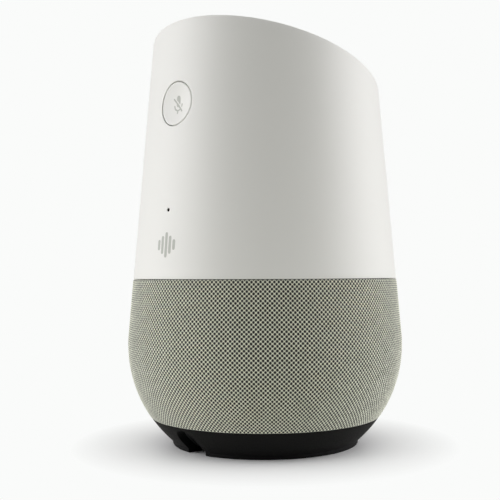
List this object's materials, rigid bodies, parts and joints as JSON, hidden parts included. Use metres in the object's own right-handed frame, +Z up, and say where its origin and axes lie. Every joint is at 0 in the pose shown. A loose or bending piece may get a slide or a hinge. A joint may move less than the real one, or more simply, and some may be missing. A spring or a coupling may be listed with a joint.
{
  "type": "smart speaker",
  "caption": "Tapered table speaker with a slanted touch top, a push button on the back and a lift-off fabric-covered base over a rubber foot.",
  "frame": {"origin": "centre of the foot's underside on the table", "axes": "+Z up; -Y is the front, towards the low side of the slanted top; +Y is the back, with the button, the power inlet and the cable notch"},
  "size_m": [0.0964, 0.0964, 0.1428],
  "materials": {
    "shell_plastic": "satin moulded",
    "panel_plastic": "fine matte",
    "button_plastic": "satin moulded",
    "sleeve_fabric": "woven polyester",
    "foot_rubber": "matte moulded",
    "grille_plastic": "moulded",
    "magnet_nickel": "nickel plated",
    "guide_acrylic": "milky acrylic",
    "board_laminate": "solder mask",
    "led_resin": "clear resin",
    "can_steel": "tinned sheet",
    "gasket_foam": "closed-cell foam",
    "frame_plastic": "moulded",
    "screw_steel": "zinc plated",
    "switch_plastic": "moulded",
    "plunger_plastic": "moulded",
    "box_plastic": "moulded ABS",
    "chip_epoxy": "moulded epoxy",
    "pad_silicone": "soft silicone",
    "spreader_aluminium": "milled sheet",
    "antenna_film": "copper on polyimide film",
    "cable_jacket": "extruded",
    "wire_insulation": "extruded",
    "ribbon_film": "polyimide film",
    "basket_steel": "black painted pressing",
    "motor_steel": "zinc plated",
    "cone_paper": "pressed paper pulp",
    "coil_copper": "enamelled copper wire",
    "spider_cloth": "resin-stiffened cloth",
    "surround_rubber": "moulded butyl rubber",
    "diaphragm_composite": "pressed composite",
    "terminal_board": "phenolic board",
    "jack_plastic": "moulded nylon",
    "pin_nickel": "nickel plated"
  },
  "bodies": {
    "base": {"base_fabric": "sleeve_fabric", "base_grille_shell": "grille_plastic", "base_floor": "grille_plastic", "foot_ring": "foot_rubber", "base_magnets": "magnet_nickel"},
    "unit": {"antenna_cables": "cable_jacket", "bottom_cap": "frame_plastic", "bottom_cap_screws": "screw_steel", "driver_frame": "basket_steel", "driver_magnet": "magnet_nickel", "driver_spider": "spider_cloth", "driver_surround": "surround_rubber", "driver_terminals": "terminal_board", "driver_top_plate": "motor_steel", "driver_yoke": "motor_steel", "enclosure_gasket": "gasket_foam", "enclosure_lid": "box_plastic", "enclosure_screws": "screw_steel", "enclosure_tub": "box_plastic", "heat_spreader": "spreader_aluminium", "indicator_leds": "led_resin", "inlet_board": "board_laminate", "inlet_centre_pin": "pin_nickel", "inlet_wires": "wire_insulation", "led_light_guide": "guide_acrylic", "main_board": "board_laminate", "main_board_chips": "chip_epoxy", "main_board_screws": "screw_steel", "mic_gaskets": "gasket_foam", "microphones": "can_steel", "mute_flex_cable": "ribbon_film", "mute_switch_board": "board_laminate", "mute_switch_body": "switch_plastic", "panel_carrier": "frame_plastic", "panel_carrier_screws": "screw_steel", "passive_left_frame": "basket_steel", "passive_left_surround": "surround_rubber", "passive_right_frame": "basket_steel", "passive_right_surround": "surround_rubber", "power_inlet_jack": "jack_plastic", "service_port": "pin_nickel", "shell_screws": "screw_steel", "shield_can": "can_steel", "speaker_gaskets": "gasket_foam", "speaker_screws": "screw_steel", "speaker_wires": "wire_insulation", "switch_board_screws": "screw_steel", "thermal_pad": "pad_silicone", "top_touch_panel": "panel_plastic", "touch_flex_cable": "ribbon_film", "touch_light_board": "board_laminate", "unit_magnets": "magnet_nickel", "upper_shell": "shell_plastic", "wifi_antennas": "antenna_film"},
    "mute_button": {"mute_button": "button_plastic", "mute_switch_plunger": "plunger_plastic"},
    "driver_cone": {"driver_cone": "cone_paper", "voice_coil": "coil_copper"},
    "passive_left": {"passive_left_diaphragm": "diaphragm_composite"},
    "passive_right": {"passive_right_diaphragm": "diaphragm_composite"}
  },
  "joints": [
    {"name": "base_lift", "type": "slide", "parent": "base", "child": "unit", "axis": [0, 0, 1], "range_m": [0, 0.065]},
    {"name": "mute_press", "type": "slide", "parent": "unit", "child": "mute_button", "axis": [0, -0.9964, -0.0845], "range_m": [0, 0.0006], "stiffness_N_per_m": 2000},
    {"name": "driver_stroke", "type": "slide", "parent": "unit", "child": "driver_cone", "axis": [0, -1, 0], "range_m": [-0.002, 0.002], "stiffness_N_per_m": 1000, "deforming": ["driver_surround", "driver_spider"]},
    {"name": "passive_left_stroke", "type": "slide", "parent": "unit", "child": "passive_left", "axis": [-0.866, 0.5, 0], "range_m": [-0.0025, 0.0025], "stiffness_N_per_m": 800, "deforming": ["passive_left_surround"]},
    {"name": "passive_right_stroke", "type": "slide", "parent": "unit", "child": "passive_right", "axis": [0.866, 0.5, 0], "range_m": [-0.0025, 0.0025], "stiffness_N_per_m": 800, "deforming": ["passive_right_surround"]}
  ]
}
